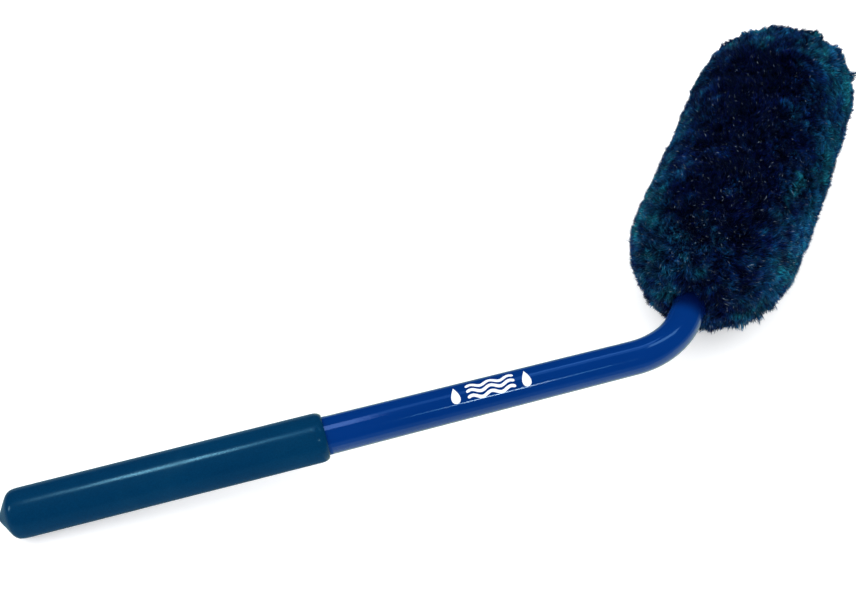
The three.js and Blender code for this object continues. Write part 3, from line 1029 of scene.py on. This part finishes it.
def build_pile():
    rng, s, phi = fibres(11, FIBRES)
    xo = on_outer(s)
    outer = place(xo, phi)
    back = place(on_back(s), phi)
    grow = outer - back
    height = np.linalg.norm(grow, axis=1)
    grow /= height[:, None]
    extra = fuller(xo[:, 0], phi)

    # broad locks lean together, and small tufts close up to a common tip
    ls, lphi, lp, ltree, lrng = centres(21, 8.5)
    ts, tphi, tp, ttree, trng = centres(31, 3.0)
    ws, wphi, wp, wtree, wrng = centres(33, 1.5)
    wisp = nearest(wtree, outer)
    lock = nearest(ltree, outer)
    tuft = nearest(ttree, outer)
    lock_lean = lrng.normal(0, 1.0, lp.shape) * 1.25
    tuft_lean = trng.normal(0, 1.0, tp.shape) * 0.80
    tuft_tall = trng.normal(0, 0.26, len(tp))
    lock_tall = lrng.normal(0, 0.28, len(lp))
    flow = swirl(outer, 34.0, 41) * 2.2 + swirl(outer, 12.0, 51) * 1.3

    # lengths in millimetres: smooth along the sides, ragged at the two ends
    nose_end = np.clip((xo[:, 0] - 168.0) / 24.0, 0, 1)
    neck_end = np.clip((30.0 - xo[:, 0]) / 12.0, 0, 1)
    end = nose_end + neck_end
    wisp_tall = wrng.normal(0, 0.30, len(wp))
    wisp_lean = wrng.normal(0, 0.75, wp.shape)
    tall = height * 0.985 + extra + lock_tall[lock] + tuft_tall[tuft]
    tall += rng.normal(0, 0.30, FIBRES) - 0.35 * rng.random(FIBRES) ** 3 * 3.0
    under = np.exp(-0.5 * ((np.degrees(phi) % 360.0 - 212.0) / 24.0) ** 2) * np.clip((44.0 - xo[:, 0]) / 10.0, 0, 1)
    ragged = nose_end + 0.5 * neck_end + 0.9 * under
    tall += ragged * (tuft_tall[tuft] * 3.4 + lock_tall[lock] * 1.7)
    tall += wisp_tall[wisp] * (1.0 + 1.5 * ragged)
    # the first rows lie forward along the handle, with uneven ends
    forward = np.clip((6.5 - s) / 6.5, 0, 1)
    tall += forward * (2.0 * rng.random(FIBRES) ** 1.5 - 0.8)
    root = back + grow * np.maximum(height - 7.2, 0.25)[:, None]
    tall = np.maximum(tall, height * 0.72)
    tip = back + grow * tall[:, None]

    # lean: remove the part along the fibre, so that a fibre leans but isn't stretched
    lean = flow + lock_lean[lock] + tuft_lean[tuft] + wisp_lean[wisp]
    lean += rng.normal(0, 0.80, outer.shape) * (1 + 0.7 * neck_end)[:, None]
    lean -= grow * np.einsum("ij,ij->i", lean, grow)[:, None]
    tip += lean
    tip -= grow * (np.einsum("ij,ij->i", lean, lean) / (2 * height + 6.0))[:, None]
    tuft_tip = np.zeros_like(tp)
    share = np.zeros(len(tp))
    np.add.at(tuft_tip, tuft, tip)
    np.add.at(share, tuft, 1)
    tuft_tip /= np.maximum(share, 1)[:, None]
    pull = np.clip(rng.normal(0.17, 0.12, FIBRES) + 0.26 * nose_end + 0.05 * neck_end, 0.0, 0.80)
    tip += (tuft_tip[tuft] - tip) * pull[:, None]
    wisp_tip = np.zeros_like(wp)
    share = np.zeros(len(wp))
    np.add.at(wisp_tip, wisp, tip)
    np.add.at(share, wisp, 1)
    wisp_tip /= np.maximum(share, 1)[:, None]
    pull = np.clip(rng.normal(0.32, 0.22, FIBRES) + 0.14 * nose_end, 0.0, 0.9)
    tip += (wisp_tip[wisp] - tip) * pull[:, None]
    lock_tip = np.zeros_like(lp)
    share = np.zeros(len(lp))
    np.add.at(lock_tip, lock, tip)
    np.add.at(share, lock, 1)
    lock_tip /= np.maximum(share, 1)[:, None]
    tip += (lock_tip[lock] - tip) * (0.04 + 0.24 * nose_end + 0.06 * neck_end)[:, None]
    # a few stray fibres stand proud
    stray = rng.random(FIBRES) < 0.008
    tip[stray] += grow[stray] * rng.uniform(0.2, 0.9, (stray.sum(), 1))
    tip[stray] += rng.normal(0, 0.9, (stray.sum(), 3))

    # curved: the control point stays over the root
    ctrl = root + grow * (np.linalg.norm(tip - root, axis=1) * 0.60)[:, None]
    ctrl += rng.normal(0, 1.05, ctrl.shape)
    keep_off_tube(tip)
    keep_off_tube(ctrl)

    tip = press(tip, rng)
    ctrl = press(ctrl, rng)
    root = press(root)

    looks = {
        "shade": np.clip(
            rng.normal(0.5, 0.25, FIBRES)
            + trng.normal(0, 0.07, len(tp))[tuft]
            + wrng.normal(0, 0.09, len(wp))[wisp]
            + lrng.normal(0, 0.05, len(lp))[lock],
            0,
            1,
        ),
        "pale": np.where(
            rng.random(FIBRES) < np.interp(xo[:, 0], [0, 60, 110, 190], [0.030, 0.025, 0.012, 0.009]),
            rng.uniform(0.20, 1.0, FIBRES) ** 1.4,
            # many more, near the handle most of all, are only a little greyed
            np.where(
                rng.random(FIBRES) < np.interp(xo[:, 0], [0, 70, 120, 190], [0.065, 0.05, 0.02, 0.02]),
                rng.uniform(0.06, 0.22, FIBRES),
                0.0,
            ),
        ),
        "band": darker_band(outer, xo[:, 0], phi),
    }
    return root, ctrl, tip, looks, s, phi


def darker_band(p, x, phi):
    """Painted light and shade: the pile is painted darker along the top of the head than on its sides and ends: 1 is
    darkest, and below 0 the pile is painted paler than its mean."""
    middle = 92.0 - 0.13 * np.clip(x - 40.0, 0, 130)
    turn = (np.degrees(phi) - middle + 180.0) % 360.0 - 180.0
    turn += 14.0 * (noise3(p, 30.0, 82) - 0.5)
    one = np.interp(
        turn,
        [-180, -110, -62, -56, -46, -38, -28, -18, 18, 24, 30, 48, 56, 62, 70, 110, 180],
        [0.0, -0.10, -0.50, -0.50, 0.08, 0.44, 0.92, 1.50, 1.45, 1.12, 0.76, 0.40, 0.20, -0.18, -0.46, -0.3, 0.0],
    )
    # painted shade: on the far side the left flank is painted darker than near the neck
    one += 0.50 * np.clip((x - 55.0) / 20.0, 0, 1) * np.clip((-turn - 30.0) / 14.0, 0, 1)
    nose_tone = np.interp(turn, [-180, -60, -17, 6, 26, 56, 100, 180], [0.0, 0.25, 0.50, 0.45, 0.02, -0.34, -0.3, 0.0])
    neck_tone = np.interp(
        turn,
        [-180, -102, -68, -32, -10, 27, 51, 71, 100, 180],
        [0.2, 0.22, 0.06, 0.26, 0.52, 0.52, 0.60, 0.22, 0.22, 0.2],
    )
    # and the painted shade is darkest of all where the pile closes round the handle
    neck_tone = neck_tone + 0.40 * np.clip((14.0 - x) / 7.0, 0, 1)
    k = np.clip((x - 146.0) / 26.0, 0, 1)
    k = k * k * (3 - 2 * k)
    one = one + (nose_tone - one) * k
    k = np.clip((36.0 - x) / 16.0, 0, 1)
    one = one + (neck_tone - one) * k
    wander = 0.74 + 0.52 * noise3(p, 26.0, 81)
    return one * np.where(one > 0, wander, 1.0)


def keep_off_tube(p):
    """Near the neck, fibres lie on the tube and not in it."""
    rel = p - HEAD0
    x = rel @ D
    radial = rel - x[:, None] * D
    r = np.linalg.norm(radial, axis=1)
    near = (x < 32) & (r < TUBE_R_STEM + 0.35) & (r > 0)
    scale = (TUBE_R_STEM + 0.35) / np.maximum(r, 1e-6)
    p[near] = HEAD0 + x[near, None] * D + radial[near] * scale[near, None]


def fibre_mesh(name, pick, root, ctrl, tip, looks):
    """One closed three-sided, tapered tube for each fibre picked."""
    a, b, c = root[pick], ctrl[pick], tip[pick]
    n = len(pick)
    per = 3 * len(RINGS) + 1
    verts = np.empty((n, per, 3))
    thick = 0.82 + 0.36 * looks["shade"][pick]
    spin = (np.arange(n) * 2.399963) % (2 * math.pi)
    tip_share = np.empty((n, per))
    for k, t in enumerate(RINGS):
        centre = (1 - t) ** 2 * a + 2 * t * (1 - t) * b + t * t * c
        tangent = (1 - t) * (b - a) + t * (c - b)
        tangent /= np.maximum(np.linalg.norm(tangent, axis=1), 1e-9)[:, None]
        other = np.where(np.abs(tangent[:, 2:3]) < 0.8, [[0.0, 0.0, 1.0]], [[1.0, 0.0, 0.0]])
        u = np.cross(tangent, other)
        u /= np.linalg.norm(u, axis=1)[:, None]
        v = np.cross(tangent, u)
        w = (WIDTH[k] * thick)[:, None]
        if k == 2:  # the pale ends are frayed and wider
            w = w * (1.0 + 1.0 * looks["pale"][pick][:, None])
        for j in range(3):
            ang = (spin + j * 2 * math.pi / 3)[:, None]
            verts[:, 3 * k + j] = centre + w * (np.cos(ang) * u + np.sin(ang) * v)
            tip_share[:, 3 * k + j] = t
    verts[:, -1] = c
    tip_share[:, -1] = 1.0
    verts[:, :, 2] = np.maximum(verts[:, :, 2], 0.03)

    quads, tris = [], []
    for k in range(len(RINGS) - 1):
        for j in range(3):
            l = (j + 1) % 3
            quads.append((3 * k + j, 3 * k + l, 3 * (k + 1) + l, 3 * (k + 1) + j))
    e = 3 * (len(RINGS) - 1)
    for j in range(3):
        tris.append((e + j, e + (j + 1) % 3, per - 1))
    tris.append((2, 1, 0))
    base = (np.arange(n) * per)[:, None]
    q = (base + np.array(quads).ravel()[None, :]).reshape(n, -1)
    t3 = (base + np.array(tris).ravel()[None, :]).reshape(n, -1)
    loops = np.concatenate([q, t3], axis=1)
    sizes = np.array([4] * len(quads) + [3] * len(tris))
    starts_one = np.concatenate([[0], np.cumsum(sizes)[:-1]])
    per_loops = int(sizes.sum())
    starts = (np.arange(n) * per_loops)[:, None] + starts_one[None, :]

    me = bpy.data.meshes.new(name)
    me.vertices.add(n * per)
    me.vertices.foreach_set("co", (verts * MM).astype(np.float32).ravel())
    me.loops.add(n * per_loops)
    me.loops.foreach_set("vertex_index", loops.astype(np.int32).ravel())
    me.polygons.add(n * len(sizes))
    me.polygons.foreach_set("loop_start", starts.astype(np.int32).ravel())
    me.polygons.foreach_set("use_smooth", np.ones(n * len(sizes), bool))
    me.update(calc_edges=True)

    for key, values in (
        ("tip", tip_share),
        ("shade", np.repeat(looks["shade"][pick][:, None], per, 1)),
        ("pale", np.repeat(looks["pale"][pick][:, None], per, 1)),
        ("band", np.repeat(looks["band"][pick][:, None], per, 1)),
    ):
        at = me.attributes.new(key, "FLOAT", "POINT")
        at.data.foreach_set("value", values.astype(np.float32).ravel())

    # the bake's own map: one small upright cell for each fibre, root at its foot
    across = int(math.ceil(math.sqrt(n * 1.25)))
    down = int(math.ceil(n / across))
    col = np.arange(n) % across
    row = np.arange(n) // across
    u0 = (col + 0.12) / across
    u1 = (col + 0.88) / across
    v0 = (row + 0.10) / down
    v1 = (row + 0.90) / down
    share = np.array(list(np.repeat(RINGS, 3)) + [1.0])
    one = np.array([i for f in quads + tris for i in f])
    left = np.array(
        [x for f in quads for x in (0.0, 1.0, 1.0, 0.0)]
        + [x for f in tris[:-1] for x in (0.0, 1.0, 0.5)]
        + [0.5, 1.0, 0.0]
    )
    high = share[one].copy()
    high[-3:] = (0.0, 0.02, 0.02)
    uu = u0[:, None] + (u1 - u0)[:, None] * left[None, :]
    vv = v0[:, None] + (v1 - v0)[:, None] * high[None, :]
    uv = me.uv_layers.new(name="OFBake")
    uv.data.foreach_set("uv", np.stack([uu, vv], -1).astype(np.float32).ravel())

    o = bpy.data.objects.new(name, me)
    scene.collection.objects.link(o)
    me.materials.append(MATS["pile_fibre"])
    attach(o, "root")
    return o


def pile_pieces():
    root, ctrl, tip, looks, s, phi = build_pile()
    x = on_outer(s)[:, 0]
    whole = np.arange(len(s))
    share = (phi % (2 * math.pi)) / (2 * math.pi)
    neck_zone = x < 34
    nose_zone = x > 186
    groups = []
    for label, zone, sectors in (
        ("pile_neck", neck_zone, 2),
        ("pile_side", ~(neck_zone | nose_zone), 10),
        ("pile_nose", nose_zone, 3),
    ):
        turn = np.minimum((share * sectors).astype(int), sectors - 1)
        for k in range(sectors):
            groups.append(("%s_%d" % (label, k + 1), whole[zone & (turn == k)]))
    made = []
    for name, pick in groups:
        if len(pick) > 12400:
            raise SystemExit("too many fibres in " + name + ": %d" % len(pick))
        # neighbours on the head are neighbours in the bake's map too
        key = np.lexsort((np.round(x[pick] / 4.0), np.round(phi[pick] % (2 * math.pi), 1)))
        made.append(fibre_mesh(name, pick[key], root, ctrl, tip, looks))
    return made


def place_straight(x, r, phi):
    """A ring on the head's own axis, with none of the pile's lean."""
    return (
        HEAD0
        + x * D
        + r * (np.cos(phi)[:, None] * SIDE + np.sin(phi)[:, None] * UP)
    )


def make_mass():
    """The dense inside of the pile: a closed lumpy sleeve on the backing."""
    n_s = 230
    s = np.linspace(0.0, ARC_LENGTH, n_s)
    sides = 300
    phi = np.linspace(0, 2 * math.pi, sides, endpoint=False)
    rows = []
    for k, si in enumerate(s):
        if k == n_s - 1:
            break
        xo = on_outer(np.full(sides, si))
        xb = on_back(np.full(sides, si))
        o, b = place(xo, phi), place(xb, phi)
        tall = np.maximum(np.linalg.norm(o - b, axis=1), 1e-6)
        way = (o - b) / tall[:, None]
        deep = 4.3 + 2.6 * (noise3(o, 3.0, 61) - 0.5) + 2.0 * (noise3(o, 8.5, 62) - 0.5)
        level = np.maximum(tall - deep, 0.35 * tall)
        p = b + way * (level + 0.8 * fuller(xo[:, 0], phi))[:, None]
        if k < 3:
            keep_off_tube(p)
        rows.append(press(p))
    hole = [
        (10.4, 8.6), (20.6, 8.6), (20.7, 9.6), (22.2, 10.2), (22.3, 15.0), (28.0, 15.0),
        (37.0, 15.4), (40.8, 20.3), (44.8, 24.1), (48.8, 26.6), (52.6, 27.3), (80.0, 27.3),
        (110.0, 27.3), (140.0, 27.3), (175.2, 27.3), (175.8, 27.7), (178.1, 27.6),
        (179.2, 27.3), (181.4, 25.6), (184.9, 21.2), (187.3, 14.7), (188.6, 7.4),
    ]
    inner = [place_straight(x, r, phi) for x, r in hole]
    verts, faces = [], []
    tip_out = place(on_outer(np.array([ARC_LENGTH])), np.array([0.0]))[0]
    tip_mid = tip_out - D * 4.5
    verts.append(tip_mid)
    for r in rows[::-1]:
        verts.extend(r)
    for r in inner:
        verts.extend(r)
    verts.append(HEAD0 + D * 188.9)
    n_rows = len(rows) + len(inner)
    last = len(verts) - 1
    for k in range(sides):
        l = (k + 1) % sides
        faces.append((0, 1 + l, 1 + k))
        e = 1 + (n_rows - 1) * sides
        faces.append((last, e + k, e + l))
    for i in range(n_rows - 1):
        a, b = 1 + i * sides, 1 + (i + 1) * sides
        for k in range(sides):
            l = (k + 1) % sides
            faces.append((a + k, a + l, b + l, b + k))
    o = mesh_object("pile_felt", np.array(verts), faces)
    make_outward(o)
    o.data.materials.append(MATS["pile_mass"])
    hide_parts("pile_sleeve", "pile_tip")
    return o


make_mass()
pile_pieces()

# ------------------------------------------------------------ camera and lights
C = Vector((-0.12953050, -0.44380598, 0.51573302))
RIGHT = Vector((0.97128736, -0.23781625, 0.00665595))
CAM_UP = Vector((0.17443879, 0.73090814, 0.65980633))
FORWARD = Vector((0.16177756, 0.63970049, -0.75140621))
camera_data = bpy.data.cameras.new("camera")
camera_data.sensor_width = 36.0
camera_data.lens = 56.36136
camera_data.clip_start = 0.01
camera_data.clip_end = 50.0
camera = bpy.data.objects.new("camera", camera_data)
scene.collection.objects.link(camera)
rot = Matrix((RIGHT, CAM_UP, -FORWARD)).transposed()
camera.matrix_world = Matrix.Translation(C) @ rot.to_4x4()
scene.camera = camera

def floor_sheet(name, z, light, tint=(1.0, 1.0, 1.0), corners=None):
    if corners is None:
        corners = [(-6000, -6000, z), (6000, -6000, z), (6000, 6000, z), (-6000, 6000, z)]
    o = mesh_object(name, np.array(corners, float), [(0, 1, 2, 3)], smooth=False)
    f = Mat(name + "_paper")
    f.set(Roughness=0.85)
    f.p.inputs["Specular IOR Level"].default_value = 0.1
    high = tuple(light * k for k in tint)
    low = tuple(0.985 * k for k in high)
    f.colour(f.ramp(f.noise(3.0, 2.0), [(0.3, low), (0.7, high)]))
    o.data.materials.append(f.m)
    return o


# The floor, and the dimmer sheets that glossy surfaces reflect in its place: the real
# tube and grip reflect far less light from below than a boundless white floor gives.
floor = floor_sheet("floor", 0.0, 0.86)
floor.visible_glossy = False
glow = floor.data.materials[0].node_tree.nodes["Principled BSDF"]
glow.inputs["Emission Color"].default_value = (1.0, 1.0, 1.0, 1.0)
glow.inputs["Emission Strength"].default_value = 0.34
under = floor_sheet("floor_reflected", 0.02, 0.36, (0.55, 1.0, 1.06))


def ground(s, out):
    p = TAIL + H * s
    side = np.array([H[1], -H[0], 0.0])
    side /= np.linalg.norm(side)
    return (p[0] + side[0] * out, p[1] + side[1] * out, 0.04)


near_tube = [ground(151, -90), ground(460, -90), ground(460, 105), ground(151, 62)]
pale = floor_sheet("floor_reflected_by_tube", 0.0, 0.92, (0.82, 1.0, 0.72), near_tube)
for o in (under, pale):
    o.visible_camera = False
    o.visible_diffuse = False
    o.visible_shadow = False
    o.visible_transmission = False

world = bpy.data.worlds.new("studio")
scene.world = world
world.use_nodes = True
bg = world.node_tree.nodes["Background"]
bg.inputs["Color"].default_value = (0.97, 0.985, 1.0, 1.0)
bg.inputs["Strength"].default_value = 1.32
world.cycles_visibility.glossy = False


def area(name, place, aim, size, power, glossy=True, colour=(1, 1, 1), along=None, gloss_only=False):
    """A rectangular lamp aimed at a point, its long side along a direction."""
    data = bpy.data.lights.new(name, "AREA")
    data.shape = "RECTANGLE"
    data.size, data.size_y = size
    data.energy = power
    data.color = colour
    o = bpy.data.objects.new(name, data)
    scene.collection.objects.link(o)
    place, aim = Vector(place), Vector(aim)
    back = (place - aim).normalized()
    side = Vector(along) if along is not None else Vector((1, 0, 0))
    side = (side - back * side.dot(back)).normalized()
    up = back.cross(side)
    o.matrix_world = Matrix.Translation(place) @ Matrix((side, up, back)).transposed().to_4x4()
    o.visible_glossy = glossy
    o.visible_diffuse = not gloss_only
    o.visible_camera = False
    return o


def strip(name, s_from, s_to, angle, away, wide, radiance, colour):
    """A strip light that the handle reflects between two stations along it. The angle
    is round the handle from the level side that faces the viewer."""
    side, up = frame_at(H)
    if side[1] > 0:
        side = -side
    a = math.radians(angle)
    out = math.cos(a) * side + math.sin(a) * up
    spot = (s_from + s_to) / 2
    foot = TAIL + H * spot
    place = (foot + out * away) * MM
    length = (s_to - s_from) * MM
    wide = wide * MM
    power = radiance * math.pi * length * wide
    return area(name, place, foot * MM, (length, wide), power, True, colour, H, True)


# soft key from the upper left, soft fill from the right: neither shows in a gloss
area("key", (-0.9, -0.5, 1.6), (0.0, 0.0, 0.03), (1.6, 1.6), 11, glossy=False)
area("fill", (1.5, 0.6, 1.0), (0.1, 0.0, 0.03), (1.2, 1.0), 6, glossy=False)
# narrow strips draw the lines along the grip and the tube
COOL = (0.84, 0.94, 1.0)
strip("strip_grip", -140, -18, 98.0, 1200, 225, 84.0, COOL)
strip("strip_grip_ends", -190, 95, 98.5, 1210, 220, 13.0, (0.235, 0.66, 0.92))
strip("strip_tube", 134, 205, 98.5, 1190, 560, 7.0, (0.53, 0.66, 1.0))
strip("strip_front", 318, 418, 42.9, 1000, 40, 64.0, (1.0, 0.87, 0.68))
strip("strip_front_ends", 254, 509, 42.9, 1010, 60, 6.5, (0.35, 0.89, 1.0))
strip("strip_back", 389, 640, 118.0, 1000, 110, 4.6, (0.25, 0.58, 1.0))
strip("strip_back_ends", 205, 640, 108.0, 1010, 300, 1.8, (0.25, 0.58, 1.0))
# and two beyond the brush's ends, for viewers round to its sides
strip("strip_beyond_grip", -1560, -860, 93.0, 1200, 240, 34.0, COOL)
strip("strip_beyond_bend", 700, 1300, 97.0, 1200, 300, 5.0, (0.45, 0.80, 1.0))

scene.view_settings.view_transform = "Standard"
scene.view_settings.look = "None"
